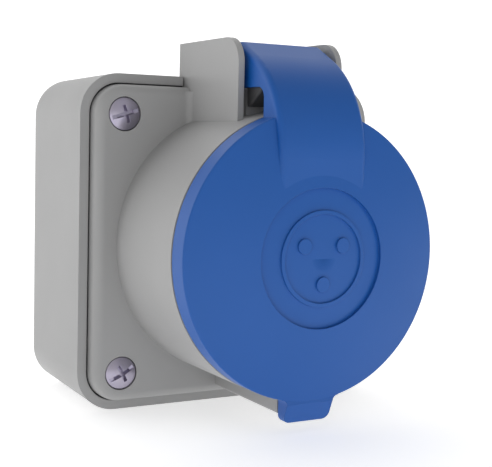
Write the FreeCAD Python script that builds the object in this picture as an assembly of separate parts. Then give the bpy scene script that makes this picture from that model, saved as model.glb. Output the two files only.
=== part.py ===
# Industrial wall socket: a surface box, a front housing with a round barrel, and a sprung hinged lid.
# All sizes are millimetres. X runs to the right as seen from the front, Y runs into the wall, Z is up.
# The origin is the centre of the box's back face. "Ahead" means the distance in front of the wall,
# so a point that is d ahead has y = -d.
import FreeCAD, Part
import math
import os

V = FreeCAD.Vector
X_AXIS = V(1, 0, 0)
AHEAD = V(0, -1, 0)

LAP = 1.0                    # extra length where shapes are joined into or cut through each other
PICK = 0.01                  # tolerance when an edge is picked by its place

# Back box
BOX_MARGIN = 7.8             # the rim's outside is this far beyond the barrel
BOX_DEPTH = 35.0
BOX_DRAFT = 0.5              # each side is this much smaller at the wall
BOX_CORNER_R = 9.5
BOX_BACK_R = 1.0             # rounding of the outer back edge
BOX_WALL = 3.4
BOX_FLOOR = 3.0
RIM_WALL = 2.2               # wall beside the rebate that takes the plate
REBATE_DEPTH = 3.0
POST_R = 4.6
POST_RIB = 2.0
NOTCH_GAP = 0.35             # between the hinge block and each end of the rim

# Cover and wall fixings
SCREW_INSET = 9.5            # cover screws, in from the box's outside
SCREW_R = 2.0
SCREW_LENGTH = 20.0
SCREW_TIP = 1.2              # length of the tapered end
SCREW_TIP_R = 1.2
SCREW_TURNS = (-28, -17, 40, 12)
SCREW_HOLE_GAP = 0.25
THREAD_GAP = 0.03
HEAD_R = 3.8
HEAD_EDGE = 1.5              # height of the head's side
HEAD_DOME = 1.2
SLOT_WIDTH = 0.9
SLOT_DEPTH = 0.9
CROSS_REACH = 2.1
CROSS_WIDTH = 0.8
CROSS_DEPTH = 1.8
COUNTERBORE_GAP = 0.2
COUNTERBORE_DEPTH = 1.7
WALL_HOLE_R = 2.4
WALL_HOLE_PITCH_X = 36.0
WALL_HOLE_PITCH_Z = 62.0
WALL_BOSS_R = 4.6
WALL_BOSS_HEIGHT = 1.0

# Cable entries in the top and bottom walls
ENTRY_R = 10.2
ENTRY_RECESS_R = 12.6
ENTRY_RECESS_DEPTH = 1.2
ENTRY_FIT_GAP = 0.1
ENTRY_LIP = 1.4              # how far the inner lip reaches past the hole
ENTRY_LIP_THICK = 1.2
MEMBRANE_THICK = 1.0
GROMMET_WALL = 1.5
GROMMET_STEP_R = 5.4         # thin ring in the membrane, to cut along
GROMMET_STEP_WIDTH = 1.2
GROMMET_STEP_DEPTH = 0.4
PLUG_WALL = 2.0
COIN_SLOT_REACH = 6.1
COIN_SLOT_WIDTH = 1.8
COIN_SLOT_DEPTH = 1.0

# Seal between the box and the front housing
SEAL_THICK = 1.2
SEAL_LIP = 0.3
SEAL_SIDE_GAP = 0.05
SEAL_LIP_SETBACK = 0.4       # lip ends this far behind the rim

# Front housing
PLATE_GAP = 0.4              # between plate and rim
PLATE_PROUD = 3.8            # plate face in front of the rim
PLATE_WALL = 2.5
PLATE_EDGE_R = 2.2
PLATE_BOSS_R = 5.4
PLATE_SCREW_BITE = 1.4       # the block's screw holes reach this far into the plate
BARREL_R = 32.2
BARREL_WALL = 3.0
BARREL_LENGTH = 29.8         # in front of the plate
MOUTH_CHAMFER = 0.9
NOSE_HALF_WIDTH = 5.2
NOSE_DROP = 3.55             # the nose reaches this far below the barrel
NOSE_EDGE_R = 0.6
KEYWAY_HALF_WIDTH = 3.0
KEYWAY_WALL = 2.6
KEYWAY_LENGTH = 24.6

# Hinge
HINGE_SETBACK = 10.6         # the pin is this far behind the barrel's front
HINGE_LIFT = 9.8             # and this far above the barrel
PIN_R = 2.0
PIN_RUN_GAP = 0.05
PIN_SEAT_GAP = 0.01
PIN_BLIND = 0.9              # depth of the blind seat in the left ear
ARM_HALF_WIDTH = 11.0
ARM_SIDE_GAP = 1.1
EAR_THICK = 1.5
EAR_RISE = 6.0               # above the pin
EAR_REACH = 4.1              # ahead of the pin
EAR_CORNER_R = 6.0
EAR_ROOT_R = 1.6             # soft foot of each ear on the plate
EAR_FOOT_DEPTH = 8.2         # the ears end this far down, inside the barrel's wall
BLOCK_LIFT = 0.1             # hinge block above the floor of the rim's notch
WEB_THICK = 2.8
WEB_RISE = 4.0               # above the pin
STOP_THICK = 1.9
STOP_INNER = 5.6
STOP_WIDTH = 4.6
STOP_GAP = 0.3
STOP_FACE_GAP = 0.1          # left between heel and stop at the lid's widest angle
HEEL_REACH = 9.1
HEEL_TIP_ANGLE = 36.0        # heel angles are above the line that runs back from the pin
HEEL_ROOT_R = 4.0
HEEL_TOP_R = 4.6
HEEL_TOP_ANGLE = 84.0
LID_OPEN_ANGLE = 110.0

# Lid
LID_INSET = 0.1              # the lid is this much smaller than the barrel
LID_BACK_GAP = 0.4           # between barrel and lid skirt
LID_SKIRT = 5.1
LID_DOME = 4.2
LID_SHELL = 2.3
SKIRT_WALL = 1.3
LID_EDGE_R = 0.35
RECESS_R = 15.4
RECESS_DEPTH = 0.7
RECESS_RING_R = 10.6
RECESS_RING_WIDTH = 0.9
RECESS_DOT_R = 1.7
RECESS_DOT_CIRCLE_R = 5.6
RELIEF_HEIGHT = 0.45
INNER_RING_WALL = 1.5
INNER_RING_SETBACK = 0.8
KNUCKLE_R = 5.2
ARM_INNER_R = 2.6
ARM_DEPTH = 8.0              # from the skirt's back edge to the arm's flat face on the dome
ARM_FACE_FOOT = 8.0          # lowest height that the arm's block reaches inside the dome
ARM_SLOPE_ANGLE = 27.5       # the top falls forward at this angle
ARM_SLOPE_LIFT = 4.2         # the slope's line passes this far above the pin
ARM_BEND_R = 25.0
ARM_EDGE_R = 1.4
TAB_HALF_WIDTH = 5.95
TAB_DROP = 4.9               # the tab reaches this far below the lid's edge
TAB_BACK_STEP = 1.25         # its back is ahead of the skirt's back edge
TAB_LAP = 3.0                # the tab starts this far inside the lid's edge
TAB_ROOT_R = 1.4
TAB_CORNER_R = 1.7
TAB_SLOPE = 2.2              # front of the tab falls back by this much
TAB_SLOPE_DROP = 0.4         # the slope starts this far below the lid's edge

# Lid seal
LID_SEAL_WIDTH = 2.0
LID_SEAL_GAP = 0.15
LID_SEAL_REST_GAP = 0.3      # to the barrel's front edge
LID_SEAL_DEPTH = 2.4
LID_SEAL_CROWN = 0.5

# Plug catch
CATCH_HALF_WIDTH = 10.4
CATCH_SETBACK = 1.8          # its front is behind the arm's back face
CATCH_TOE_REACH = 3.5        # toe and heel are ahead of the pin
CATCH_HEEL_REACH = 2.8
CATCH_HEEL_LEAN = 0.4
CATCH_LIFT = 0.4             # its foot is above the barrel
CATCH_FRONT_FACE = 0.3
CATCH_EDGE = 0.35
PEG_R = 1.5
PEG_LENGTH = 2.4
PEG_GAP = 0.05
PEG_REACH = 7.0              # ahead of the pin
PEG_OFFSET = 7.6

# Lid spring
SPRING_WIRE_R = 0.35
SPRING_COIL_R = 2.5
SPRING_TURNS = 6
SPRING_STEP_ANGLE = 30.0
SPRING_WIRE_SIDES = 8
SPRING_HALF_LENGTH = 4.2
SPRING_END_ANGLE = 120.0     # the coil ends here, past the top, and its leg runs on forward
SPRING_POCKET_R = 3.5
SPRING_POCKET_HALF = 4.9
SPRING_POCKET_OPEN_ANGLE = 80.0
MOUTH_REACH = 15.0           # the pocket opens backward and downward, corners by reach and angle
MOUTH_BACK_ANGLE = -60.0
MOUTH_LOW = 8.0
MOUTH_LOW_ANGLE = -90.0
MOUTH_FRONT = 9.4
MOUTH_FRONT_ANGLE = -112.0
SPRING_LEG_GAP = 0.3
SPRING_LEG_REACH = 7.6
SPRING_FOOT_GAP = 0.3        # standing leg above the barrel
SPRING_REST_WIDTH = 1.8
SPRING_REST_HEIGHT = 3.4

# Contacts
LINE_PIN_R = 3.0
EARTH_PIN_R = 4.0
PIN_ENTRY_GAP = 0.05         # sleeve bore over the plug's pin
SLEEVE_WALL = 1.0
SLEEVE_SLOT = 0.8
SLEEVE_SLOT_LENGTH = 18.0
CONTACT_CIRCLE_R = 12.5
LINE_ANGLE = 30.0
NEUTRAL_ANGLE = 150.0
EARTH_ANGLE = 270.0
SLEEVE_SETBACK = 2.3         # behind the contact carrier's front
SLEEVE_STEP = 0.3            # the sleeve's root is behind the plate's inside
TERMINAL_EXTRA = 1.4         # terminal radius beyond the sleeve's
WIRE_HOLE_R = 2.8
WIRE_HOLE_DEPTH = 15.0
PIN_OVERRUN = 2.0            # sleeve bore goes on past the sleeve's root
TERMINAL_SCREW_R = 2.0
TERMINAL_SCREW_IN = 8.0      # ahead of the terminal block's back
TERMINAL_SCREW_LENGTH = 6.4
TERMINAL_SCREW_CLEAR = 0.6
TERMINAL_FIT_GAP = 0.05
CLIP_THICK = 0.6
CLIP_LENGTH = 4.0
CLIP_SETBACK = 6.7           # its back edge, behind the sleeve's front
CLIP_OPENING = 1.6
CLIP_TURN = 45.0
CLIP_GAP = 0.03

# Contact carrier in front, terminal block behind it, cap at the back
SHROUD_SPACE = 5.0           # ring between carrier and barrel for the plug's shroud
INSERT_SETBACK = 6.6         # behind the barrel's front
INSERT_FRONT_WALL = 2.0
INSERT_EDGE = 0.8
PIN_MOUTH_GAP = 0.6
CHAMBER_GAP = 0.3
FLANGE_INSET = 1.0           # the flange is smaller than the barrel's outside
FLANGE_THICK = 3.0
TERMINAL_BLOCK_WALL = 7.9    # beyond the circle of the contacts
TERMINAL_LENGTH = 21.0       # from the sleeve's root to the terminal block's back
BLOCK_SCREW_INSET = 0.8      # the block's own screws, in from the barrel's outside
BLOCK_EAR_R = 3.2
BLOCK_EAR_THICK = 2.4
BLOCK_BOSS_R = 2.9
BLOCK_BOSS_LENGTH = 5.2
BLOCK_BOSS_GAP = 0.3
SCREW_WINDOW = 6.4
SCREW_WINDOW_LENGTH = 12.0
CAP_THICK = 2.4
CAP_WIRE_GAP = 0.6
SMALL_SCREW_R = 1.25
SMALL_HEAD_R = 2.4
SMALL_HEAD_HEIGHT = 1.6
SMALL_SLOT_WIDTH = 0.7
SMALL_SLOT_DEPTH = 0.8
BLOCK_SCREW_LENGTH = 8.6
CAP_SCREW_BITE = 6.0         # how far the long centre screw reaches into the carrier

# Places that follow from the sizes above
box_half = BARREL_R + BOX_MARGIN
ledge = BOX_DEPTH - REBATE_DEPTH
plate_back = ledge + SEAL_THICK
plate_front = BOX_DEPTH + PLATE_PROUD
plate_inside = plate_front - PLATE_WALL
rebate_half = box_half - RIM_WALL
plate_half = rebate_half - PLATE_GAP
plate_corner = BOX_CORNER_R - RIM_WALL - PLATE_GAP
cavity_half = box_half - BOX_WALL
entry_ahead = BOX_DEPTH / 2
screw_at = box_half - SCREW_INSET
head_seat = plate_front - COUNTERBORE_DEPTH
barrel_end = plate_front + BARREL_LENGTH
bore_r = BARREL_R - BARREL_WALL
nose_bottom = BARREL_R + NOSE_DROP
hinge_ahead = barrel_end - HINGE_SETBACK
hinge_height = BARREL_R + HINGE_LIFT
ear_inner = ARM_HALF_WIDTH + ARM_SIDE_GAP
ear_outer = ear_inner + EAR_THICK
ear_top = hinge_height + EAR_RISE
ear_front = hinge_ahead + EAR_REACH
ear_foot = BARREL_R - EAR_FOOT_DEPTH
web_top = hinge_height + WEB_RISE
lid_r = BARREL_R - LID_INSET
lid_back = barrel_end + LID_BACK_GAP
lid_edge = lid_back + LID_SKIRT
lid_apex = lid_edge + LID_DOME
dome_r = (lid_r ** 2 + LID_DOME ** 2) / (2 * LID_DOME)
dome_centre = lid_apex - dome_r
arm_underside = hinge_height - KNUCKLE_R
arm_face = lid_back + ARM_DEPTH
tab_bottom = lid_r + TAB_DROP
catch_front = lid_back - CATCH_SETBACK
seal_outer_r = lid_r - SKIRT_WALL - LID_SEAL_GAP
seal_inner_r = seal_outer_r - LID_SEAL_WIDTH
inner_ring_r = seal_inner_r - LID_SEAL_GAP
line_r = LINE_PIN_R + PIN_ENTRY_GAP
earth_r = EARTH_PIN_R + PIN_ENTRY_GAP
insert_r = bore_r - SHROUD_SPACE
insert_front = barrel_end - INSERT_SETBACK
flange_r = BARREL_R - FLANGE_INSET
flange_back = plate_inside - FLANGE_THICK
sleeve_front = insert_front - SLEEVE_SETBACK
sleeve_back = plate_inside - SLEEVE_STEP
clip_ahead = sleeve_front - CLIP_SETBACK
block_back = sleeve_back - TERMINAL_LENGTH
block_r = CONTACT_CIRCLE_R + TERMINAL_BLOCK_WALL
block_screw_at = BARREL_R - BLOCK_SCREW_INSET
block_ear_front = plate_inside - BLOCK_BOSS_LENGTH
block_ear_back = block_ear_front - BLOCK_EAR_THICK
contact_angles = (("line", LINE_ANGLE), ("neutral", NEUTRAL_ANGLE), ("earth", EARTH_ANGLE))
heel_face_angle = LID_OPEN_ANGLE - 90


def save(node, shape):
    shape.exportStep("parts/" + node + ".step")


def joined(shapes):
    """One solid from shapes that touch or overlap."""
    return shapes[0].fuse(list(shapes[1:])).removeSplitter()


def group(solids):
    return Part.makeCompound(list(solids))


def cylinder(radius, back, front, x=0.0, z=0.0):
    """A round bar along the socket's axis, between two distances ahead of the wall."""
    return Part.makeCylinder(radius, front - back, V(x, -back, z), AHEAD)


def cross_bar(radius, x0, x1, ahead, height):
    """A round bar that runs across, along X."""
    return Part.makeCylinder(radius, x1 - x0, V(x0, -ahead, height), X_AXIS)


def block(x0, x1, back, front, z0, z1):
    return Part.makeBox(x1 - x0, front - back, z1 - z0, V(x0, -front, z0))


def square_wire(half, corner, ahead):
    """A rounded square parallel to the wall."""
    flat = half - corner
    edges = []
    for turn in range(4):
        angle = math.radians(90 * turn)
        c, s = math.cos(angle), math.sin(angle)

        def place(a, b):
            return V(a * c - b * s, -ahead, a * s + b * c)

        bow = flat + corner * math.sqrt(0.5)
        edges.append(Part.makeLine(place(half, -flat), place(half, flat)))
        edges.append(Part.Arc(place(half, flat), place(bow, bow), place(flat, half)).toShape())
    return Part.Wire(edges)


def square_prism(half, corner, back, front):
    return Part.Face(square_wire(half, corner, back)).extrude(V(0, back - front, 0))


def square_loft(half_back, half_front, corner, back, front):
    wires = [square_wire(half_back, corner, back), square_wire(half_front, corner, front)]
    return Part.makeLoft(wires, True, True)


def side_shape(edges, x0, x1):
    """A side profile in the Y-Z plane, extruded from x0 to x1."""
    face = Part.Face(Part.Wire(Part.__sortEdges__(edges)))
    face.translate(V(x0, 0, 0))
    return face.extrude(V(x1 - x0, 0, 0))


def side(ahead, height):
    """A point of a side profile."""
    return V(0, -ahead, height)


def polygon_edges(points):
    pairs = zip(points, points[1:] + points[:1])
    return [Part.makeLine(a, b) for a, b in pairs]


def revolved(points):
    """A turned shape from (radius, ahead) points, round the socket's axis."""
    wire = Part.makePolygon([V(r, -d, 0) for r, d in points + points[:1]])
    return Part.Face(wire).revolve(V(0, 0, 0), V(0, 1, 0), 360)


def mirrored(shape):
    return shape.mirror(V(0, 0, 0), X_AXIS)


def corner_points():
    """Centres of the four cover screws."""
    return [(x, z) for x in (-screw_at, screw_at) for z in (-screw_at, screw_at)]


def contact_points():
    """Name, x, z, sleeve bore radius and terminal radius of each contact, earth at six o'clock."""
    places = []
    for name, angle in contact_angles:
        bore = earth_r if name == "earth" else line_r
        x = CONTACT_CIRCLE_R * math.cos(math.radians(angle))
        z = CONTACT_CIRCLE_R * math.sin(math.radians(angle))
        places.append((name, x, z, bore, bore + SLEEVE_WALL + TERMINAL_EXTRA))
    return places


def edges_where(shape, test):
    return [edge for edge in shape.Edges if test(edge.BoundBox)]


def make_back_box():
    shell = square_loft(box_half - BOX_DRAFT, box_half, BOX_CORNER_R, 0, BOX_DEPTH)
    back_edges = edges_where(shell, lambda b: b.YMin > -PICK)
    shell = shell.makeFillet(BOX_BACK_R, back_edges)
    cavity_corner = BOX_CORNER_R - BOX_WALL
    cavity = square_loft(cavity_half - BOX_DRAFT, cavity_half, cavity_corner, BOX_FLOOR, ledge)
    rebate = square_prism(rebate_half, BOX_CORNER_R - RIM_WALL, ledge, BOX_DEPTH)
    shell = shell.cut(cavity.fuse(rebate))
    added = []
    for x, z in corner_points():
        wall_x = math.copysign(cavity_half + LAP, x)
        wall_z = math.copysign(cavity_half + LAP, z)
        rib = POST_RIB / 2
        added.append(cylinder(POST_R, BOX_FLOOR - LAP, plate_back, x, z))
        added.append(block(min(x, wall_x), max(x, wall_x), BOX_FLOOR - LAP, ledge - LAP, z - rib, z + rib))
        added.append(block(x - rib, x + rib, BOX_FLOOR - LAP, ledge - LAP, min(z, wall_z), max(z, wall_z)))
    holes = []
    for x in (-WALL_HOLE_PITCH_X / 2, WALL_HOLE_PITCH_X / 2):
        for z in (-WALL_HOLE_PITCH_Z / 2, WALL_HOLE_PITCH_Z / 2):
            added.append(cylinder(WALL_BOSS_R, BOX_FLOOR - LAP, BOX_FLOOR + WALL_BOSS_HEIGHT, x, z))
            holes.append(cylinder(WALL_HOLE_R, -1, BOX_FLOOR + WALL_BOSS_HEIGHT + LAP, x, z))
    for x, z in corner_points():
        pilot_back = head_seat - SCREW_LENGTH - SCREW_TIP - LAP
        holes.append(cylinder(SCREW_R + THREAD_GAP, pilot_back, plate_back + LAP, x, z))
    for sign in (-1, 1):
        holes.append(entry_bar(ENTRY_R, cavity_half - BOX_WALL, box_half + LAP, sign))
        holes.append(entry_bar(ENTRY_RECESS_R, half_at_entry() - ENTRY_RECESS_DEPTH, box_half + LAP, sign))
    notch = ear_outer + NOTCH_GAP
    holes.append(block(-notch, notch, ledge, BOX_DEPTH + LAP, rebate_half - LAP, box_half + LAP))
    return joined([shell] + added).cut(holes)


def half_at_entry():
    """Half height of the box at the cable entries."""
    return box_half - BOX_DRAFT * (1 - entry_ahead / BOX_DEPTH)


def entry_bar(radius, start, end, sign):
    """A round bar along Z at a cable entry, up for +1 and down for -1."""
    return Part.makeCylinder(radius, end - start, V(0, -entry_ahead, sign * start), V(0, 0, sign))


def make_entry_body(sign):
    """Flush outer flange, neck and inner lip that snaps behind the wall."""
    outside = half_at_entry() - ENTRY_FIT_GAP
    recess = half_at_entry() - ENTRY_RECESS_DEPTH
    inside = cavity_half - BOX_DRAFT * (1 - entry_ahead / BOX_DEPTH) - 2 * ENTRY_FIT_GAP
    flange = entry_bar(ENTRY_RECESS_R - ENTRY_FIT_GAP, recess, outside, sign)
    neck = entry_bar(ENTRY_R - ENTRY_FIT_GAP, inside - ENTRY_LIP_THICK, outside, sign)
    lip = entry_bar(ENTRY_R + ENTRY_LIP, inside - ENTRY_LIP_THICK, inside, sign)
    return joined([flange, neck, lip]), inside - ENTRY_LIP_THICK, outside


def make_top_entry_grommet():
    """A soft grommet that a cable is pushed through: a thin membrane in a ring, with steps to cut."""
    body, low, high = make_entry_body(1)
    hollow_r = ENTRY_R - ENTRY_FIT_GAP - GROMMET_WALL
    hollow = entry_bar(hollow_r, low - LAP, high - MEMBRANE_THICK, 1)
    ring_outer = entry_bar(GROMMET_STEP_R, high - GROMMET_STEP_DEPTH, high + LAP, 1)
    ring_inner = entry_bar(GROMMET_STEP_R - GROMMET_STEP_WIDTH, high - GROMMET_STEP_DEPTH, high + LAP, 1)
    return body.cut(hollow).cut(ring_outer.cut(ring_inner))


def make_bottom_entry_plug():
    """A hard blanking plug with a coin slot."""
    body, low, high = make_entry_body(-1)
    hollow = entry_bar(ENTRY_R - ENTRY_FIT_GAP - PLUG_WALL, low - LAP, high - PLUG_WALL, -1)
    half = COIN_SLOT_WIDTH / 2
    slot = block(-COIN_SLOT_REACH, COIN_SLOT_REACH, entry_ahead - half, entry_ahead + half,
                 -high - LAP, COIN_SLOT_DEPTH - high)
    return body.cut(hollow).cut(slot)


def make_flange_seal():
    """A flat foot on the ledge with a thin lip in the gap round the plate."""
    foot_outer = rebate_half - SEAL_SIDE_GAP
    foot_corner = BOX_CORNER_R - RIM_WALL - SEAL_SIDE_GAP
    foot_inner = cavity_half + SEAL_SIDE_GAP
    foot = square_prism(foot_outer, foot_corner, ledge, plate_back)
    lip_inner = plate_half + SEAL_SIDE_GAP
    lip = square_prism(lip_inner + SEAL_LIP, plate_corner + SEAL_SIDE_GAP + SEAL_LIP,
                       plate_back, BOX_DEPTH - SEAL_LIP_SETBACK)
    lip = lip.cut(square_prism(lip_inner, plate_corner + SEAL_SIDE_GAP, plate_back, BOX_DEPTH))
    notch = ear_outer + NOTCH_GAP
    lip = lip.cut(block(-notch, notch, plate_back, BOX_DEPTH, 0, box_half))
    ring = foot.cut(square_prism(foot_inner, BOX_CORNER_R - BOX_WALL + SEAL_SIDE_GAP, ledge, plate_back))
    posts = [cylinder(POST_R + SEAL_SIDE_GAP, ledge, plate_back, x, z) for x, z in corner_points()]
    return joined([ring.cut(posts), lip])


def ear_profile():
    """Side outline of an ear, standing on the barrel, with a round top front corner."""
    back = ledge + BLOCK_LIFT
    step = rebate_half + SEAL_SIDE_GAP
    bow = EAR_CORNER_R * math.sqrt(0.5)
    centre_ahead = ear_front - EAR_CORNER_R
    centre_height = ear_top - EAR_CORNER_R
    points = [side(plate_back, ear_foot), side(plate_back, step), side(back, step), side(back, ear_top),
              side(centre_ahead, ear_top)]
    corner_end = side(ear_front, centre_height)
    edges = [Part.makeLine(a, b) for a, b in zip(points, points[1:])]
    corner_mid = side(centre_ahead + bow, centre_height + bow)
    edges.append(Part.Arc(points[-1], corner_mid, corner_end).toShape())
    edges.append(Part.makeLine(corner_end, side(ear_front, ear_foot)))
    edges.append(Part.makeLine(side(ear_front, ear_foot), points[0]))
    return edges


def make_front_housing():
    plate = square_prism(plate_half, plate_corner, plate_back, plate_front)
    face_edges = edges_where(plate, lambda b: b.YMax < -plate_front + PICK)
    plate = plate.makeFillet(PLATE_EDGE_R, face_edges)
    inner_corner = plate_corner - PLATE_WALL
    plate = plate.cut(square_prism(plate_half - PLATE_WALL, inner_corner, plate_back, plate_inside))
    barrel = cylinder(BARREL_R, plate_inside, barrel_end)
    nose = block(-NOSE_HALF_WIDTH, NOSE_HALF_WIDTH, plate_inside, barrel_end, -nose_bottom, -bore_r)
    nose_edges = edges_where(nose, lambda b: b.ZMax < PICK - nose_bottom and b.YLength > 1)
    nose = nose.makeFillet(NOSE_EDGE_R, nose_edges)
    inner_space = square_prism(plate_half - PLATE_WALL, inner_corner, plate_back - LAP, plate_inside)
    ear = side_shape(ear_profile(), ear_inner, ear_outer).cut(inner_space)
    web_back = ledge + BLOCK_LIFT
    step = rebate_half + SEAL_SIDE_GAP
    web = block(-ear_outer, ear_outer, web_back, web_back + WEB_THICK, step, web_top)
    web_foot = block(-ear_outer, ear_outer, plate_back, plate_front, plate_half - PLATE_WALL, web_top)
    behind = block(-ear_inner, ear_inner, web_back + WEB_THICK, plate_front, plate_half + LAP, web_top)
    web_foot = web_foot.cut(behind)
    root = block(ear_outer - LAP, ear_outer + EAR_ROOT_R, plate_front - LAP / 2, plate_front + EAR_ROOT_R,
                 ear_foot, plate_half - LAP)
    root_centre = V(ear_outer + EAR_ROOT_R, -plate_front - EAR_ROOT_R, ear_foot)
    root = root.cut(Part.makeCylinder(EAR_ROOT_R, box_half, root_centre, V(0, 0, 1)))
    pieces = [plate, barrel, nose, ear, mirrored(ear), web, web_foot, root, mirrored(root)]
    for x, z in corner_points():
        pieces.append(cylinder(PLATE_BOSS_R, plate_back, plate_inside, x, z))
    for x in (-block_screw_at, block_screw_at):
        boss = cylinder(BLOCK_BOSS_R, block_ear_front, plate_inside, x)
        boss = boss.common(cylinder(block_screw_at + BLOCK_BOSS_R, 0, plate_front))
        pieces.append(boss)
    stop_top = hinge_height - KNUCKLE_R - STOP_GAP
    stop_back = hinge_ahead + STOP_FACE_GAP
    stop_foot = math.sqrt(bore_r ** 2 - (STOP_INNER + STOP_WIDTH) ** 2) - LAP
    for x0 in (STOP_INNER, -STOP_INNER - STOP_WIDTH):
        pieces.append(block(x0, x0 + STOP_WIDTH, stop_back, stop_back + STOP_THICK, stop_foot, stop_top))
    rest_back = hinge_ahead - SPRING_COIL_R + SPRING_WIRE_R + PIN_RUN_GAP
    rest_x = -SPRING_HALF_LENGTH - SPRING_REST_WIDTH / 2
    pieces.append(block(rest_x, rest_x + SPRING_REST_WIDTH, rest_back, stop_back + STOP_THICK,
                        stop_foot, BARREL_R + SPRING_REST_HEIGHT))
    body = joined(pieces)
    key_bottom = nose_bottom - KEYWAY_WALL
    cuts = [cylinder(bore_r, plate_back - LAP, barrel_end + LAP)]
    cuts.append(revolved([(0, barrel_end - MOUTH_CHAMFER), (bore_r, barrel_end - MOUTH_CHAMFER),
                          (bore_r + MOUTH_CHAMFER, barrel_end), (0, barrel_end)]))
    keyway_start = barrel_end - KEYWAY_LENGTH
    cuts.append(block(-KEYWAY_HALF_WIDTH, KEYWAY_HALF_WIDTH, keyway_start, barrel_end + LAP,
                      -key_bottom, 0))
    for x, z in corner_points():
        cuts.append(cylinder(SCREW_R + SCREW_HOLE_GAP, plate_back - LAP, plate_front + LAP, x, z))
        cuts.append(cylinder(HEAD_R + COUNTERBORE_GAP, head_seat, plate_front + LAP, x, z))
    for x in (-block_screw_at, block_screw_at):
        hole_front = plate_inside + PLATE_SCREW_BITE
        cuts.append(cylinder(SMALL_SCREW_R + THREAD_GAP, block_ear_front - LAP, hole_front, x))
    seat_r = PIN_R + PIN_SEAT_GAP
    cuts.append(cross_bar(seat_r, -ear_inner - PIN_BLIND, ear_outer + LAP, hinge_ahead, hinge_height))
    return body.cut(cuts)


def dome_ahead(radius, inset):
    """How far ahead of the wall the lid's dome is at a radius, moved in by inset."""
    return dome_centre + math.sqrt((dome_r - inset) ** 2 - radius ** 2)


def domed_disc(radius, back, inset):
    """A disc with a flat back and the lid's dome as its front, moved in by inset."""
    apex = V(0, -dome_ahead(0, inset), 0)
    middle = V(radius / 2, -dome_ahead(radius / 2, inset), 0)
    rim = V(radius, -dome_ahead(radius, inset), 0)
    foot = V(radius, -back, 0)
    centre = V(0, -back, 0)
    edges = [Part.Arc(apex, middle, rim).toShape(), Part.makeLine(rim, foot),
             Part.makeLine(foot, centre), Part.makeLine(centre, apex)]
    return Part.Face(Part.Wire(edges)).revolve(V(0, 0, 0), V(0, 1, 0), 360)


def arm_profile():
    """Side outline of the arm: knuckle round the pin, ridge, slope, one large bend, flat face."""
    slope = math.radians(ARM_SLOPE_ANGLE)
    out = side(math.sin(slope), math.cos(slope))
    down = side(math.cos(slope), -math.sin(slope))
    half_chord = math.sqrt(KNUCKLE_R ** 2 - ARM_SLOPE_LIFT ** 2)
    ridge = side(hinge_ahead, hinge_height) + out * ARM_SLOPE_LIFT - down * half_chord
    bend_ahead = arm_face - ARM_BEND_R
    bend_fall = ARM_BEND_R - ARM_SLOPE_LIFT + (bend_ahead - hinge_ahead) * math.sin(slope)
    bend_centre = side(bend_ahead, hinge_height - bend_fall / math.cos(slope))
    bend_start = bend_centre + out * ARM_BEND_R
    middle = math.radians((90 + ARM_SLOPE_ANGLE) / 2)
    bend_mid = bend_centre + side(math.sin(middle), math.cos(middle)) * ARM_BEND_R
    bend_end = bend_centre + side(ARM_BEND_R, 0)
    foot_front = side(arm_face, ARM_FACE_FOOT)
    foot_back = side(lid_back, ARM_FACE_FOOT)
    inner_end = side(lid_back, arm_underside - ARM_INNER_R)
    inner_start = side(lid_back - ARM_INNER_R, arm_underside)
    bow = ARM_INNER_R * (1 - math.sqrt(0.5))
    inner_mid = side(lid_back - bow, arm_underside - bow)
    knuckle_bottom = side(hinge_ahead, arm_underside)
    knuckle_back = side(hinge_ahead - KNUCKLE_R, hinge_height)
    return [Part.Arc(knuckle_bottom, knuckle_back, ridge).toShape(),
            Part.makeLine(ridge, bend_start),
            Part.Arc(bend_start, bend_mid, bend_end).toShape(),
            Part.makeLine(bend_end, foot_front),
            Part.makeLine(foot_front, foot_back),
            Part.makeLine(foot_back, inner_end),
            Part.Arc(inner_end, inner_mid, inner_start).toShape(),
            Part.makeLine(inner_start, knuckle_bottom)]


def polar_side(radius, angle):
    """A side-profile point round the pin: 0 degrees runs back to the wall, 90 is up."""
    turn = math.radians(angle)
    return side(hinge_ahead - radius * math.cos(turn), hinge_height + radius * math.sin(turn))


def make_arm():
    arm = side_shape(arm_profile(), -ARM_HALF_WIDTH, ARM_HALF_WIDTH)
    top_edges = edges_where(arm, lambda b: b.XLength < PICK and on_arm_top(b))
    arm = arm.makeFillet(ARM_EDGE_R, top_edges)
    heel = polygon_edges([polar_side(HEEL_ROOT_R, heel_face_angle), polar_side(HEEL_REACH, heel_face_angle),
                          polar_side(HEEL_REACH, HEEL_TIP_ANGLE), polar_side(HEEL_TOP_R, HEEL_TOP_ANGLE)])
    tooth = side_shape(heel, STOP_INNER, STOP_INNER + STOP_WIDTH)
    arm = joined([arm, tooth, mirrored(tooth)])
    pocket = cross_bar(SPRING_POCKET_R, -SPRING_POCKET_HALF, SPRING_POCKET_HALF, hinge_ahead, hinge_height)
    corners = [(0, 0), (MOUTH_REACH, SPRING_POCKET_OPEN_ANGLE), (MOUTH_REACH, 0),
               (MOUTH_REACH, MOUTH_BACK_ANGLE), (MOUTH_LOW, MOUTH_LOW_ANGLE),
               (MOUTH_FRONT, MOUTH_FRONT_ANGLE)]
    mouth = polygon_edges([polar_side(radius, angle) for radius, angle in corners])
    gap = side_shape(mouth, -SPRING_POCKET_HALF, SPRING_POCKET_HALF)
    return arm.cut([pocket, gap])


def on_arm_top(bounds):
    """True for the side edges along the slope, the bend and the face of the arm."""
    beyond_pin = bounds.Center.y < -hinge_ahead
    outside = bounds.YMin < -lid_edge or bounds.ZMin > hinge_height
    foot = bounds.ZMax < ARM_FACE_FOOT + PICK
    return beyond_pin and outside and not foot


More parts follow.
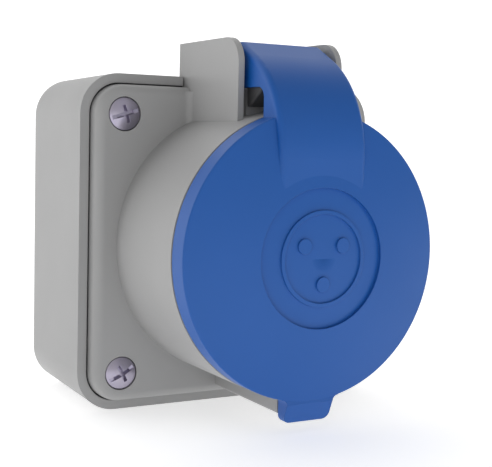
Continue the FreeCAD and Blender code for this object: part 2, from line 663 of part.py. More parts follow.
def make_tab():
    """Thumb tab under the lid, with round corners and a front that falls back."""
    top = lid_r - TAB_LAP
    tab_back = lid_back + TAB_BACK_STEP
    tab = block(-TAB_HALF_WIDTH, TAB_HALF_WIDTH, tab_back, lid_edge, -tab_bottom, -top)
    corners = edges_where(tab, lambda b: b.ZMax < PICK - tab_bottom and b.YLength > 1)
    tab = tab.makeFillet(TAB_CORNER_R, corners)
    below = -tab_bottom - LAP
    slope_top = -lid_r - TAB_SLOPE_DROP
    slope = polygon_edges([side(lid_edge, slope_top), side(lid_edge + LAP, slope_top),
                           side(lid_edge + LAP, below), side(lid_edge - TAB_SLOPE, below)])
    tab = tab.cut(side_shape(slope, -TAB_HALF_WIDTH - LAP, TAB_HALF_WIDTH + LAP))
    roots = []
    reach = lid_r + TAB_ROOT_R
    root_x = TAB_HALF_WIDTH + TAB_ROOT_R
    root_z = -math.sqrt(reach ** 2 - root_x ** 2)
    for sign in (-1, 1):
        inner = min(sign * TAB_HALF_WIDTH / 2, sign * root_x)
        outer = max(sign * TAB_HALF_WIDTH / 2, sign * root_x)
        web = block(inner, outer, tab_back, lid_edge, root_z, -top)
        web = web.cut(cylinder(TAB_ROOT_R, tab_back, lid_edge, sign * root_x, root_z))
        roots.append(web)
    return joined([tab] + roots)


def make_lid():
    disc = domed_disc(lid_r, lid_back, 0)
    edge = edges_where(disc, lambda b: b.YLength < PICK and abs(b.YMin + lid_edge) < PICK)
    disc = disc.makeFillet(LID_EDGE_R, edge)
    outside = joined([disc, make_tab(), make_arm()])
    recess_floor = domed_disc(RECESS_R + LAP, lid_back, RECESS_DEPTH)
    recess = cylinder(RECESS_R, lid_edge, lid_apex + LAP).cut(recess_floor)
    relief = cylinder(RECESS_RING_R, lid_back, lid_apex).cut(
        cylinder(RECESS_RING_R - RECESS_RING_WIDTH, lid_back, lid_apex))
    dots = []
    for name, angle in contact_angles:
        x = RECESS_DOT_CIRCLE_R * math.cos(math.radians(angle))
        z = RECESS_DOT_CIRCLE_R * math.sin(math.radians(angle))
        dots.append(cylinder(RECESS_DOT_R, lid_back, lid_apex, x, z))
    relief_top = domed_disc(RECESS_R + LAP, lid_back, RECESS_DEPTH - RELIEF_HEIGHT)
    for raised in [relief] + dots:
        recess = recess.cut(raised.common(relief_top))
    outside = outside.cut(recess)
    hollow = domed_disc(lid_r - SKIRT_WALL, lid_back - LAP, LID_SHELL)
    ring_back = lid_back + INNER_RING_SETBACK
    ring = cylinder(inner_ring_r, ring_back, lid_apex).cut(
        cylinder(inner_ring_r - INNER_RING_WALL, ring_back, lid_apex))
    hollow = hollow.cut(ring)
    reach = ARM_HALF_WIDTH + LAP
    pin_hole = cross_bar(PIN_R + PIN_RUN_GAP, -reach, reach, hinge_ahead, hinge_height)
    pegs = [peg(sign, PEG_R + PEG_GAP, PEG_LENGTH + PEG_GAP) for sign in (-1, 1)]
    leg_depth = SPRING_WIRE_R + SPRING_LEG_REACH + SPRING_LEG_GAP
    leg_hole = leg_bar(SPRING_WIRE_R + SPRING_LEG_GAP, leg_depth)
    return outside.cut([hollow, pin_hole, leg_hole] + pegs)


def peg(sign, radius, length):
    foot = V(sign * PEG_OFFSET, -hinge_ahead - PEG_REACH, arm_underside)
    return Part.makeCylinder(radius, length, foot, V(0, 0, 1))


def make_lid_seal():
    back = barrel_end + LID_SEAL_REST_GAP
    front = back + LID_SEAL_DEPTH
    shoulder = back + LID_SEAL_CROWN
    return revolved([(seal_inner_r, shoulder), (seal_inner_r + LID_SEAL_CROWN, back),
                     (seal_outer_r - LID_SEAL_CROWN, back), (seal_outer_r, shoulder),
                     (seal_outer_r, front), (seal_inner_r, front)])


def make_plug_catch():
    """A wedge under the arm, on two pegs: a ramp in front and a steep face behind."""
    bend_ahead = lid_back - ARM_INNER_R
    bend_height = arm_underside - ARM_INNER_R

    def under_bend(ahead):
        return side(ahead, bend_height + math.sqrt(ARM_INNER_R ** 2 - (ahead - bend_ahead) ** 2))

    lowest = BARREL_R + CATCH_LIFT
    heel_ahead = hinge_ahead + CATCH_HEEL_REACH
    heel_top = side(heel_ahead - CATCH_HEEL_LEAN, arm_underside)
    bend_top = side(bend_ahead, arm_underside)
    front_top = under_bend(catch_front)
    front_foot = front_top - V(0, 0, CATCH_FRONT_FACE)
    toe = side(hinge_ahead + CATCH_TOE_REACH, lowest)
    heel = side(heel_ahead, lowest)
    bend = Part.Arc(bend_top, under_bend((bend_ahead + catch_front) / 2), front_top).toShape()
    outline = [Part.makeLine(heel_top, bend_top), bend, Part.makeLine(front_top, front_foot),
               Part.makeLine(front_foot, toe), Part.makeLine(toe, heel), Part.makeLine(heel, heel_top)]
    wedge = side_shape(outline, -CATCH_HALF_WIDTH, CATCH_HALF_WIDTH)
    ramp = edges_where(wedge, lambda b: b.XLength < PICK and b.YLength > LAP and b.ZLength > LAP)
    wedge = wedge.makeChamfer(CATCH_EDGE, ramp)
    return joined([wedge] + [peg(sign, PEG_R, PEG_LENGTH) for sign in (-1, 1)])


def make_hinge_pin():
    left = -ear_inner - PIN_BLIND
    return cross_bar(PIN_R, left, ear_outer, hinge_ahead, hinge_height)


def leg_bar(radius, reach):
    """A round bar along the spring's forward end."""
    start = polar_side(SPRING_COIL_R, SPRING_END_ANGLE) + V(SPRING_HALF_LENGTH, 0, 0)
    turn = math.radians(SPRING_END_ANGLE)
    along = V(0, -math.sin(turn), math.cos(turn))
    return Part.makeCylinder(radius, reach, start - along * SPRING_WIRE_R, along)


def spring_path():
    """Points along the wire: up from the barrel, round the pin, then forward into the arm."""
    behind = polar_side(SPRING_COIL_R, 0).y
    standing_x = SPRING_HALF_LENGTH + SPRING_WIRE_R
    foot = math.sqrt(BARREL_R ** 2 - standing_x ** 2) + SPRING_FOOT_GAP
    points = [V(-SPRING_HALF_LENGTH, behind, foot)]
    total = SPRING_TURNS * 360 + SPRING_END_ANGLE
    steps = round(total / SPRING_STEP_ANGLE)
    for step in range(steps + 1):
        share = step / steps
        x = SPRING_HALF_LENGTH * (2 * share - 1)
        points.append(polar_side(SPRING_COIL_R, total * share) + V(x, 0, 0))
    turn = math.radians(SPRING_END_ANGLE)
    points.append(points[-1] + V(0, -math.sin(turn), math.cos(turn)) * SPRING_LEG_REACH)
    return points


def wire_section(points, index):
    """Corners round the wire, square to it at one point of the path."""
    ahead = points[min(index + 1, len(points) - 1)] - points[index]
    behind = points[index] - points[max(index - 1, 0)]
    along = V(ahead).normalize() if ahead.Length > 0 else V(0, 0, 0)
    along = along + (V(behind).normalize() if behind.Length > 0 else V(0, 0, 0))
    along.normalize()
    across = (X_AXIS - along * along.dot(X_AXIS)).normalize()
    up = along.cross(across)
    corners = []
    for side_number in range(SPRING_WIRE_SIDES):
        angle = 2 * math.pi * side_number / SPRING_WIRE_SIDES
        corners.append(points[index] + across * (SPRING_WIRE_R * math.cos(angle))
                       + up * (SPRING_WIRE_R * math.sin(angle)))
    return corners


def make_lid_spring():
    """A torsion spring of one wire, with small flat facets: a coil round the pin and two legs."""
    points = spring_path()
    sections = [wire_section(points, index) for index in range(len(points))]
    faces = [Part.Face(Part.makePolygon(ring + ring[:1])) for ring in (sections[0], sections[-1])]
    for near, far in zip(sections, sections[1:]):
        for i in range(SPRING_WIRE_SIDES):
            j = (i + 1) % SPRING_WIRE_SIDES
            faces.append(Part.Face(Part.makePolygon([near[i], near[j], far[j], near[i]])))
            faces.append(Part.Face(Part.makePolygon([near[i], far[j], far[i], near[i]])))
    return Part.Solid(Part.makeShell(faces))


def make_contact(x, z, bore, terminal_r):
    outer = bore + SLEEVE_WALL
    body = joined([cylinder(outer, sleeve_back - LAP, sleeve_front, x, z),
                   cylinder(terminal_r, block_back, sleeve_back, x, z)])
    cuts = [cylinder(bore, sleeve_back - PIN_OVERRUN, sleeve_front + LAP, x, z)]
    cuts.append(cylinder(WIRE_HOLE_R, block_back - LAP, block_back + WIRE_HOLE_DEPTH, x, z))
    half = SLEEVE_SLOT / 2
    slot_back = sleeve_front - SLEEVE_SLOT_LENGTH
    cuts.append(block(x - outer - LAP, x + outer + LAP, slot_back, sleeve_front + LAP, z - half, z + half))
    cuts.append(block(x - half, x + half, slot_back, sleeve_front + LAP, z - outer - LAP, z + outer + LAP))
    cuts.append(terminal_bar(x, z, TERMINAL_SCREW_R + THREAD_GAP, 0, terminal_r + LAP))
    return body.cut(cuts)


def terminal_bar(x, z, radius, start, end):
    """A round bar that runs outward from a contact's axis, at the terminal screw."""
    out = V(x, 0, z)
    out.normalize()
    screw_ahead = block_back + TERMINAL_SCREW_IN
    return Part.makeCylinder(radius, end - start, V(x, -screw_ahead, z) + out * start, out)


def make_contact_spring(x, z, bore):
    inner = bore + SLEEVE_WALL + CLIP_GAP
    clip = cylinder(inner + CLIP_THICK, clip_ahead, clip_ahead + CLIP_LENGTH, x, z)
    clip = clip.cut(cylinder(inner, clip_ahead, clip_ahead + CLIP_LENGTH, x, z))
    half = CLIP_OPENING / 2
    out = math.atan2(z, x)
    slot = block(inner - LAP, inner + CLIP_THICK + LAP, clip_ahead, clip_ahead + CLIP_LENGTH, -half, half)
    slot.rotate(V(0, 0, 0), V(0, 1, 0), CLIP_TURN - math.degrees(out))
    slot.translate(V(x, 0, z))
    return clip.cut(slot)


def make_terminal_screws():
    screws = []
    screw_ahead = block_back + TERMINAL_SCREW_IN
    for name, x, z, bore, terminal_r in contact_points():
        start = WIRE_HOLE_R + TERMINAL_SCREW_CLEAR
        screw = terminal_bar(x, z, TERMINAL_SCREW_R, start, start + TERMINAL_SCREW_LENGTH)
        out = V(x, 0, z)
        out.normalize()
        slot = block(-SMALL_SLOT_DEPTH, LAP, -TERMINAL_SCREW_R - LAP, TERMINAL_SCREW_R + LAP,
                     -SMALL_SLOT_WIDTH / 2, SMALL_SLOT_WIDTH / 2)
        slot.rotate(V(0, 0, 0), V(0, 1, 0), -math.degrees(math.atan2(z, x)))
        slot.translate(V(x, -screw_ahead, z) + out * (start + TERMINAL_SCREW_LENGTH))
        screws.append(screw.cut(slot))
    return group(screws)


def make_contact_carrier():
    """The round insert that the plug meets: a flange, and a chamber and a mouth for each contact."""
    insert = cylinder(insert_r, flange_back, insert_front)
    front_edge = edges_where(insert, lambda b: b.YMax < PICK - insert_front)
    insert = insert.makeChamfer(INSERT_EDGE, front_edge)
    carrier = joined([insert, cylinder(flange_r, flange_back, plate_inside)])
    cuts = [cylinder(SMALL_SCREW_R + THREAD_GAP, flange_back - LAP, flange_back + CAP_SCREW_BITE + LAP)]
    for x in (-block_screw_at, block_screw_at):
        cuts.append(cylinder(BLOCK_BOSS_R + BLOCK_BOSS_GAP, flange_back - LAP, plate_inside + LAP, x))
    inside_front = insert_front - INSERT_FRONT_WALL
    for name, x, z, bore, terminal_r in contact_points():
        chamber_r = bore + SLEEVE_WALL + CLIP_GAP + CLIP_THICK + CHAMBER_GAP
        cuts.append(cylinder(terminal_r + TERMINAL_FIT_GAP, flange_back - LAP, sleeve_back, x, z))
        cuts.append(cylinder(chamber_r, sleeve_back - LAP, inside_front, x, z))
        cuts.append(cylinder(bore + PIN_MOUTH_GAP, inside_front - LAP, insert_front + LAP, x, z))
    return carrier.cut(cuts)


def make_terminal_block():
    """The block behind the carrier: it holds the terminals and is screwed to the plate by two ears."""
    body = cylinder(block_r, block_back, flange_back)
    bar = block(-block_screw_at, block_screw_at, block_ear_back, block_ear_front, -BLOCK_EAR_R, BLOCK_EAR_R)
    cuts = [cylinder(SMALL_SCREW_R + SCREW_HOLE_GAP, block_back - LAP, flange_back + LAP)]
    ends = []
    for x in (-block_screw_at, block_screw_at):
        ends.append(cylinder(BLOCK_EAR_R, block_ear_back, block_ear_front, x))
        cuts.append(cylinder(SMALL_SCREW_R + SCREW_HOLE_GAP, block_ear_back - LAP, block_ear_front + LAP, x))
    for name, x, z, bore, terminal_r in contact_points():
        cuts.append(cylinder(terminal_r + TERMINAL_FIT_GAP, block_back - LAP, flange_back + LAP, x, z))
        window = block(0, block_r, block_back - LAP, block_back + SCREW_WINDOW_LENGTH,
                       -SCREW_WINDOW / 2, SCREW_WINDOW / 2)
        window.rotate(V(0, 0, 0), V(0, 1, 0), -math.degrees(math.atan2(z, x)))
        window.translate(V(x, 0, z))
        cuts.append(window)
    return joined([body, bar] + ends).cut(cuts)


def make_carrier_cap():
    cap_back = block_back - CAP_THICK
    cap = cylinder(block_r, cap_back, block_back)
    cuts = [cylinder(SMALL_SCREW_R + SCREW_HOLE_GAP, cap_back - LAP, block_back + LAP)]
    for name, x, z, bore, terminal_r in contact_points():
        cuts.append(cylinder(WIRE_HOLE_R + CAP_WIRE_GAP, cap_back - LAP, block_back + LAP, x, z))
    return cap.cut(cuts)


def small_screw(x, seat, length):
    """A small pan-head screw driven forward: its head is behind the seat."""
    head = cylinder(SMALL_HEAD_R, seat - SMALL_HEAD_HEIGHT, seat, x)
    shank = cylinder(SMALL_SCREW_R, seat - LAP, seat + length, x)
    top = seat - SMALL_HEAD_HEIGHT
    half = SMALL_SLOT_WIDTH / 2
    slot = block(x - SMALL_HEAD_R, x + SMALL_HEAD_R, top - LAP, top + SMALL_SLOT_DEPTH, -half, half)
    return joined([head, shank]).cut(slot)


def make_cover_screw(x, z, slot_angle):
    """Pan head with a domed top, a slot and a cross recess."""
    top = head_seat + HEAD_EDGE + HEAD_DOME
    ball = (HEAD_R ** 2 + HEAD_DOME ** 2) / (2 * HEAD_DOME)
    middle_drop = ball - math.sqrt(ball ** 2 - HEAD_R ** 2 / 4)
    seat, foot = V(0, -head_seat, 0), V(HEAD_R, -head_seat, 0)
    shoulder, crown = V(HEAD_R, -head_seat - HEAD_EDGE, 0), V(0, -top, 0)
    dome = Part.Arc(shoulder, V(HEAD_R / 2, middle_drop - top, 0), crown).toShape()
    outline = [Part.makeLine(seat, foot), Part.makeLine(foot, shoulder), dome, Part.makeLine(crown, seat)]
    head = Part.Face(Part.Wire(outline)).revolve(V(0, 0, 0), V(0, 1, 0), 360)
    shank = cylinder(SCREW_R, head_seat - SCREW_LENGTH, head_seat + LAP)
    tip = Part.makeCone(SCREW_TIP_R, SCREW_R, SCREW_TIP,
                        V(0, SCREW_LENGTH - head_seat + SCREW_TIP, 0), AHEAD)
    half = SLOT_WIDTH / 2
    slot = block(-HEAD_R - LAP, HEAD_R + LAP, top - SLOT_DEPTH, top + LAP, -half, half)
    arm_half = CROSS_WIDTH / 2
    cross = [block(-CROSS_REACH, CROSS_REACH, top - CROSS_DEPTH, top + LAP, -arm_half, arm_half),
             block(-arm_half, arm_half, top - CROSS_DEPTH, top + LAP, -CROSS_REACH, CROSS_REACH)]
    screw = joined([head, shank, tip]).cut([slot] + cross)
    screw.rotate(V(0, 0, 0), V(0, 1, 0), slot_angle)
    screw.translate(V(x, 0, z))
    return screw


def build():
    os.makedirs("parts", exist_ok=True)
    save("back_box", make_back_box())
    save("flange_seal", make_flange_seal())
    save("front_housing", make_front_housing())
    screws = [make_cover_screw(x, z, turn) for (x, z), turn in zip(corner_points(), SCREW_TURNS)]
    save("cover_screws", group(screws))
    save("top_entry_grommet", make_top_entry_grommet())
    save("bottom_entry_plug", make_bottom_entry_plug())
    save("contact_carrier", make_contact_carrier())
    save("terminal_block", make_terminal_block())
    save("carrier_cap", make_carrier_cap())
    ear_places = (-block_screw_at, block_screw_at)
    save("block_screws", group([small_screw(x, block_ear_back, BLOCK_SCREW_LENGTH) for x in ear_places]))
    centre_length = CAP_THICK + flange_back - block_back + CAP_SCREW_BITE
    save("cap_screw", small_screw(0, block_back - CAP_THICK, centre_length))
    for name, x, z, bore, terminal_r in contact_points():
        save(name + "_contact", make_contact(x, z, bore, terminal_r))
        save(name + "_contact_spring", make_contact_spring(x, z, bore))
    save("terminal_screws", make_terminal_screws())
    save("hinge_pin", make_hinge_pin())
    save("lid", make_lid())
    save("lid_seal", make_lid_seal())
    save("plug_catch", make_plug_catch())
    save("lid_spring", make_lid_spring())


build()
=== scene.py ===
# %% [markdown]
# # Industrial wall socket
# A surface wall box carries a front housing with a round barrel. A plug's shroud slides into the barrel,
# and a blue lid with a sprung hinge keeps rain out when no plug is in. The engineering model brings the
# shapes and sizes. This lesson gives them their finishes, draws the spring's wire, and sets up the light
# and the camera. All sizes are metres. X runs to the right, Y into the wall and Z up.

# %% Load the frame
import bpy
import math
from mathutils import Matrix, Vector


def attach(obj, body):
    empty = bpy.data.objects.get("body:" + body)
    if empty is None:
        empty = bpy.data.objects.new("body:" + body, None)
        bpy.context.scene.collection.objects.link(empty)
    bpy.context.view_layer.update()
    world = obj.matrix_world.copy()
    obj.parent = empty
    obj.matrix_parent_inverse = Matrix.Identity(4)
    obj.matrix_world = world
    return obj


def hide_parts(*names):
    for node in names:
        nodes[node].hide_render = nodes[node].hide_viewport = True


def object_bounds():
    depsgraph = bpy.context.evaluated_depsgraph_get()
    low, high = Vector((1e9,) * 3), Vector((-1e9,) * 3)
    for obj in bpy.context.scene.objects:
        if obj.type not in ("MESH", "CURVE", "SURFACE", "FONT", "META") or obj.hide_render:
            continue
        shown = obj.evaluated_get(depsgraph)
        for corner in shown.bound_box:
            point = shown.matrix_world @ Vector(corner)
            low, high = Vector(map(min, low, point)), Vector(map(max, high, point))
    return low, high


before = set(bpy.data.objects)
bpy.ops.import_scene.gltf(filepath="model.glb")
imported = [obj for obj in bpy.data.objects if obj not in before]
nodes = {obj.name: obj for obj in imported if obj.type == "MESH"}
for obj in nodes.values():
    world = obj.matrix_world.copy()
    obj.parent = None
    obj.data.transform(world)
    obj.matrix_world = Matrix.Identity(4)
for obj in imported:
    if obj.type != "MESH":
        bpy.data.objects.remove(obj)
cad_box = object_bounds()
MM = 0.001


def in_mm(box):
    return [[round(v / MM, 1) for v in corner] for corner in box]


print("nodes:", len(nodes), "box in mm:", in_mm(cad_box))

# %% [markdown]
# Colours are picked as sRGB hex values, the way a colour picker shows them. Blender's shaders work with
# linear light, so one function turns a hex value into the linear colour that a socket takes.

# %% Colours
def hex_colour(text):
    parts = [int(text[i:i + 2], 16) / 255 for i in (1, 3, 5)]
    linear = [v / 12.92 if v <= 0.04045 else ((v + 0.055) / 1.055) ** 2.4 for v in parts]
    return (*linear, 1.0)


print("mid grey is", [round(v, 3) for v in hex_colour("#808080")[:3]], "in linear light")

# %% [markdown]
# Materials are small node graphs. One helper adds a node, sets its options and inputs, and links inputs
# to the outputs that feed them. An input is named, or given by its number, such as i6.

# %% Node helpers
def add_node(tree, kind, settings=None, **inputs):
    node = tree.nodes.new(kind)
    for name, value in (settings or {}).items():
        setattr(node, name, value)
    for name, value in inputs.items():
        by_number = name[0] == "i" and name[1:].isdigit()
        socket = node.inputs[int(name[1:]) if by_number else name.replace("_", " ")]
        if isinstance(value, bpy.types.NodeSocket):
            tree.links.new(value, socket)
        else:
            socket.default_value = value
    return node


def start_material(name):
    material = bpy.data.materials.new(name)
    material.use_nodes = True
    tree = material.node_tree
    tree.nodes.clear()
    out = tree.nodes.new("ShaderNodeOutputMaterial")
    shader = tree.nodes.new("ShaderNodeBsdfPrincipled")
    tree.links.new(shader.outputs["BSDF"], out.inputs["Surface"])
    place = tree.nodes.new("ShaderNodeTexCoord").outputs["Object"]
    return material, tree, shader, place


def per_metre(size_mm):
    """The scale of a texture whose features are about size_mm across."""
    return 1 / (size_mm * MM)


print("a 0.5 mm grain has the scale", per_metre(0.5))

# %% [markdown]
# Real surfaces are never quite even. Three more helpers make what the finishes share: clouds of two
# close tones, a roughness that changes with those clouds, and a fine relief. The clouds are given back,
# so that the roughness can follow the same pattern as the colour.

# %% Surface helpers
def two_tone(tree, shader, place, size_mm, colour, tone, detail=3.0):
    clouds = add_node(tree, "ShaderNodeTexNoise", Vector=place, Scale=per_metre(size_mm), Detail=detail)
    shade = add_node(tree, "ShaderNodeMix", {"data_type": "RGBA"}, i0=clouds.outputs["Fac"],
                     i6=hex_colour(colour), i7=hex_colour(tone))
    tree.links.new(shade.outputs[2], shader.inputs["Base Color"])
    return clouds.outputs["Fac"]


def uneven_roughness(tree, shader, clouds, low, high):
    rough = add_node(tree, "ShaderNodeMapRange", Value=clouds, i3=low, i4=high)
    tree.links.new(rough.outputs["Result"], shader.inputs["Roughness"])


def relief(tree, shader, height, strength, depth_mm, edge_mm=None):
    bump = add_node(tree, "ShaderNodeBump", Strength=strength, Distance=depth_mm * MM, Height=height)
    if edge_mm:
        soft_edge = add_node(tree, "ShaderNodeBevel", {"samples": 4}, Radius=edge_mm * MM)
        tree.links.new(soft_edge.outputs["Normal"], bump.inputs["Normal"])
    tree.links.new(bump.outputs["Normal"], shader.inputs["Normal"])


print("helpers:", two_tone.__name__, uneven_roughness.__name__, relief.__name__)

# %% [markdown]
# The housing and the lid are injection moulded. The mould's steel is spark eroded, which leaves a fine
# even grain on the plastic: it takes the shine off without making it chalky. The grain on the real part
# is about 0.2 mm, finer than one pixel here, so it is drawn at 0.6 mm. Broad, faint clouds stand for the
# small changes in tone that flow and handling leave. Edges catch the light as if rounded by 0.25 mm.

# %% Moulded plastics
CLOUDS_MM, GRAIN_MM, GRAIN_DEPTH_MM, PLASTIC_EDGE_MM = 18, 0.6, 0.012, 0.25
SMOOTHER, ROUGHER = 0.04, 0.05
POLYMER_IOR = 1.5


def moulded_plastic(name, colour, tone, roughness):
    material, tree, shader, place = start_material(name)
    clouds = two_tone(tree, shader, place, CLOUDS_MM, colour, tone)
    grain = add_node(tree, "ShaderNodeTexNoise", Vector=place, Scale=per_metre(GRAIN_MM), Detail=2.0)
    relief(tree, shader, grain.outputs["Fac"], strength=0.5, depth_mm=GRAIN_DEPTH_MM, edge_mm=PLASTIC_EDGE_MM)
    uneven_roughness(tree, shader, clouds, roughness - SMOOTHER, roughness + ROUGHER)
    shader.inputs["IOR"].default_value = POLYMER_IOR
    return material


grey_abs = moulded_plastic("grey_moulded_abs", "#A9A9A9", "#A3A3A3", roughness=0.46)
blue_abs = moulded_plastic("blue_moulded_abs", "#0A5AB0", "#0957AA", roughness=0.46)
black_nylon = moulded_plastic("black_moulded_nylon", "#454546", "#3D3D3F", roughness=0.50)
print("plastics:", grey_abs.name, blue_abs.name, black_nylon.name)

# %% [markdown]
# The seals and the cable grommet are moulded rubber. Rubber scatters light broadly and has almost no
# clear reflection, and a trace of moulding powder lightens it in patches.

# %% Rubbers
POWDER_PATCH_MM, SKIN_MM, SKIN_DEPTH_MM = 6, 0.8, 0.02
RUBBER_ROUGHNESS = 0.75


def moulded_rubber(name, colour, powder):
    material, tree, shader, place = start_material(name)
    two_tone(tree, shader, place, POWDER_PATCH_MM, colour, powder, detail=4.0)
    skin = add_node(tree, "ShaderNodeTexNoise", Vector=place, Scale=per_metre(SKIN_MM), Detail=1.0)
    relief(tree, shader, skin.outputs["Fac"], strength=0.4, depth_mm=SKIN_DEPTH_MM)
    shader.inputs["Roughness"].default_value = RUBBER_ROUGHNESS
    shader.inputs["IOR"].default_value = POLYMER_IOR
    return material


black_rubber = moulded_rubber("black_seal_rubber", "#2A2A2B", "#333335")
grey_rubber = moulded_rubber("grey_grommet_rubber", "#9B9B99", "#A4A4A2")
print("rubbers:", black_rubber.name, grey_rubber.name)

# %% [markdown]
# The screws are zinc plated steel with a clear passivation, which leaves a faint violet tint on the zinc.
# The plating follows the crystals of the steel, so the tint changes in small patches. The ground pin and
# the drawn spring wire use the same recipe, with plainer greys and finer patches.

# %% Steels
SPANGLE_MM, METAL_DEPTH_MM, METAL_EDGE_MM = 0.5, 0.01, 0.12
BRIGHTER, DULLER = 0.06, 0.08


def steel_finish(name, colour, tint, roughness, patch_mm):
    material, tree, shader, place = start_material(name)
    patches = two_tone(tree, shader, place, patch_mm, colour, tint)
    spangle = add_node(tree, "ShaderNodeTexVoronoi", Vector=place, Scale=per_metre(SPANGLE_MM))
    relief(tree, shader, spangle.outputs["Distance"], strength=0.3, depth_mm=METAL_DEPTH_MM,
           edge_mm=METAL_EDGE_MM)
    uneven_roughness(tree, shader, patches, roughness - BRIGHTER, roughness + DULLER)
    shader.inputs["Metallic"].default_value = 1.0
    return material


zinc_steel = steel_finish("zinc_plated_steel", "#B0AAC2", "#BCB6C2", roughness=0.34, patch_mm=3)
pin_steel = steel_finish("ground_stainless_pin", "#C9C9CB", "#BFC0C3", roughness=0.25, patch_mm=2)
spring_steel = steel_finish("drawn_spring_steel", "#A9A9AC", "#B6B6B8", roughness=0.30, patch_mm=1)
print("steels:", zinc_steel.name, pin_steel.name, spring_steel.name)

# %% [markdown]
# The contacts are turned from brass bar. The lathe tool leaves fine rings square to the pin's axis, which
# is the Y axis here, about 0.1 mm apart. They are drawn 0.3 mm apart so that they show.

# %% Turned brass
RING_MM, TARNISH_PATCH_MM = 0.3, 4
BRASS_ROUGHNESS = 0.28


def turned_brass(name, colour, tarnish):
    material, tree, shader, place = start_material(name)
    two_tone(tree, shader, place, TARNISH_PATCH_MM, colour, tarnish)
    rings = add_node(tree, "ShaderNodeTexWave", {"bands_direction": "Y"}, Vector=place,
                     Scale=per_metre(RING_MM) / (2 * math.pi), Distortion=0.4)
    relief(tree, shader, rings.outputs["Fac"], strength=0.4, depth_mm=METAL_DEPTH_MM)
    shader.inputs["Metallic"].default_value = 1.0
    shader.inputs["Roughness"].default_value = BRASS_ROUGHNESS
    return material


brass = turned_brass("turned_brass", "#D9B36A", "#C79E55")
print("brass:", brass.name)

# %% [markdown]
# Each part of the engineering model gets the finish of its real material. The shapes stay untouched.

# %% Dress the parts
finishes = {
    grey_abs: ["back_box", "front_housing", "bottom_entry_plug"],
    blue_abs: ["lid"],
    black_nylon: ["contact_carrier", "terminal_block", "carrier_cap", "plug_catch"],
    black_rubber: ["flange_seal", "lid_seal"],
    grey_rubber: ["top_entry_grommet"],
    zinc_steel: ["cover_screws", "block_screws", "cap_screw", "terminal_screws"],
    pin_steel: ["hinge_pin"],
    spring_steel: ["line_contact_spring", "neutral_contact_spring", "earth_contact_spring", "lid_spring"],
    brass: ["line_contact", "neutral_contact", "earth_contact"],
}
for finish, names in finishes.items():
    for name in names:
        for slot in nodes[name].material_slots:
            slot.material = finish
dressed = {name for names in finishes.values() for name in names}
print("dressed:", len(dressed), "left bare:", sorted(set(nodes) - dressed))

# %% [markdown]
# The lid spring is one hard steel wire, 0.7 mm thick. It stands on the barrel, winds a little over six
# times round the hinge pin and runs forward into the arm. The engineering model has it with small flat
# facets. A curve with a round bevel follows the same path and looks like drawn wire.

# %% Lid spring
HINGE = Vector((0, -58, 42)) * MM
WIRE_R, COIL_R, HALF_LENGTH = 0.35 * MM, 2.5 * MM, 4.2 * MM
COIL_TURNS, END_ANGLE, LEG_REACH = 6, 120, 7.6 * MM
BARREL_R, FOOT_GAP = 32.2 * MM, 0.3 * MM
POINT_ANGLE = 15


def round_pin(angle, x):
    turn = math.radians(angle)
    return HINGE + Vector((x, COIL_R * math.cos(turn), COIL_R * math.sin(turn)))


def spring_points():
    standing_x = HALF_LENGTH + WIRE_R
    foot = math.sqrt(BARREL_R ** 2 - standing_x ** 2) + FOOT_GAP
    points = [Vector((-HALF_LENGTH, HINGE.y + COIL_R, foot))]
    total = COIL_TURNS * 360 + END_ANGLE
    steps = round(total / POINT_ANGLE)
    points += [round_pin(total * i / steps, HALF_LENGTH * (2 * i / steps - 1)) for i in range(steps + 1)]
    turn = math.radians(END_ANGLE)
    points.append(points[-1] + Vector((0, -math.sin(turn), math.cos(turn))) * LEG_REACH)
    return points


curve = bpy.data.curves.new("lid_spring_wire", "CURVE")
curve.dimensions = "3D"
curve.bevel_depth = WIRE_R
curve.bevel_resolution = 4
curve.use_fill_caps = True
line = curve.splines.new("POLY")
wire_points = spring_points()
line.points.add(len(wire_points) - 1)
for point, where in zip(line.points, wire_points):
    point.co = (*where, 1)
curve.materials.append(spring_steel)
spring_wire = bpy.data.objects.new("lid_spring_wire", curve)
bpy.context.scene.collection.objects.link(spring_wire)
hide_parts("lid_spring")
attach(spring_wire, "housing")
print("spring wire:", len(wire_points), "points")

# %% [markdown]
# The socket stands on a plain pale floor: a light table of white acrylic. Lamps under it make it glow a
# little, which keeps the underside of the socket bright and the shadow on the table faint. The top lies
# just under the box.

# %% Floor
TABLE_SIZE, TABLE_GAP = 6.0, 0.2 * MM
TABLE_ROUGHNESS, TABLE_GLOW, TABLE_CLOUDS_MM = 0.9, 0.5, 40


def add_floor(size, height):
    mesh = bpy.data.meshes.new("floor")
    half = size / 2
    corners = [(-half, -half, height), (half, -half, height), (half, half, height), (-half, half, height)]
    mesh.from_pydata(corners, [], [(0, 1, 2, 3)])
    floor = bpy.data.objects.new("floor", mesh)
    bpy.context.scene.collection.objects.link(floor)
    material, tree, shader, place = start_material("white_acrylic_table")
    two_tone(tree, shader, place, TABLE_CLOUDS_MM, "#FAFAFA", "#F8F8F8", detail=2.0)
    shader.inputs["Roughness"].default_value = TABLE_ROUGHNESS
    shader.inputs["Emission Color"].default_value = (1, 1, 1, 1)
    shader.inputs["Emission Strength"].default_value = TABLE_GLOW
    mesh.materials.append(material)
    return floor


floor = add_floor(TABLE_SIZE, cad_box[0][2] - TABLE_GAP)
print("floor height in mm:", round(floor.data.vertices[0].co.z / MM, 2))

# %% [markdown]
# The light is that of a product studio. White paper hangs behind the socket, a dimmer white wall stands
# in front of it, and the room is darker between the two. The socket's front sees mostly the wall. Its
# sides see the paper too, so they come out brighter than the front. Paper and wall are the world's own
# colour: each is a smooth step in the direction's Y. Light from broad surfaces is what makes a product
# picture so soft. The camera itself sees a plain white backdrop, from whatever side it looks.

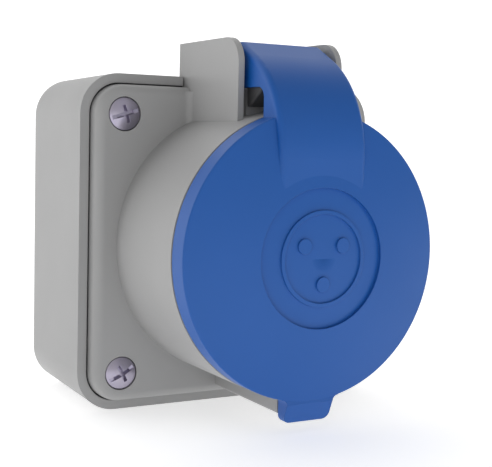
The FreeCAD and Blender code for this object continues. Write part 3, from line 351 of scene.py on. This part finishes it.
# %% Light
WHITE = (1, 1, 1, 1)
WALL_LIGHT, PAPER_LIGHT, BACKDROP_LIGHT = 0.57, 1.32, 1.3
WALL_FADE, PAPER_FADE = (-0.7, 0.2), (-0.2, 0.5)

world = bpy.data.worlds.new("studio")
bpy.context.scene.world = world
world.use_nodes = True
air = world.node_tree
air.nodes.clear()
direction = air.nodes.new("ShaderNodeTexCoord").outputs["Generated"]
across = add_node(air, "ShaderNodeSeparateXYZ", Vector=direction).outputs["Y"]


def smooth_step(fade, start, end):
    step = add_node(air, "ShaderNodeMapRange", {"interpolation_type": "SMOOTHSTEP"}, Value=across,
                    i1=fade[0], i2=fade[1], i3=start, i4=end)
    return step.outputs["Result"]


wall, paper = smooth_step(WALL_FADE, WALL_LIGHT, 0.0), smooth_step(PAPER_FADE, 0.0, PAPER_LIGHT)
both = add_node(air, "ShaderNodeMath", {"operation": "ADD"}, i0=wall, i1=paper)
studio = add_node(air, "ShaderNodeBackground", Color=WHITE, Strength=both.outputs["Value"])
backdrop = add_node(air, "ShaderNodeBackground", Color=WHITE, Strength=BACKDROP_LIGHT)
to_camera = add_node(air, "ShaderNodeLightPath").outputs["Is Camera Ray"]
seen = add_node(air, "ShaderNodeMixShader", i0=to_camera, i1=studio.outputs["Background"],
                i2=backdrop.outputs["Background"])
add_node(air, "ShaderNodeOutputWorld", Surface=seen.outputs["Shader"])
print("light behind:", PAPER_LIGHT, "in front:", WALL_LIGHT)

# %% [markdown]
# The camera stands left of the middle, a little above it, with a long lens. Its place and angles were
# worked out from the straight edges and circles in the photograph.

# %% Camera
CAMERA_PLACE = Vector((-126.8, -269.0, 25.3)) * MM
YAW, PITCH, ROLL = (math.radians(v) for v in (29.3, -5.04, 1.48))
FOCAL_PIXELS, PICTURE_WIDTH = 1065.0, 492.0
SENSOR_MM, NEAREST = 36.0, 0.01

forward = Vector((math.sin(YAW) * math.cos(PITCH), math.cos(YAW) * math.cos(PITCH), math.sin(PITCH)))
right = Vector((math.cos(YAW), -math.sin(YAW), 0))
up = right.cross(forward)
rolled_right = right * math.cos(ROLL) + up * math.sin(ROLL)
rolled_up = up * math.cos(ROLL) - right * math.sin(ROLL)
turned = Matrix((rolled_right, rolled_up, -forward)).transposed().to_4x4()
lens = bpy.data.cameras.new("camera")
lens.sensor_fit = "HORIZONTAL"
lens.sensor_width = SENSOR_MM
lens.lens = FOCAL_PIXELS / PICTURE_WIDTH * SENSOR_MM
lens.clip_start = NEAREST
camera = bpy.data.objects.new("camera", lens)
camera.matrix_world = Matrix.Translation(CAMERA_PLACE) @ turned
bpy.context.scene.collection.objects.link(camera)
bpy.context.scene.camera = camera
bpy.context.scene.view_settings.view_transform = "Standard"
print("lens in mm:", round(lens.lens, 1))
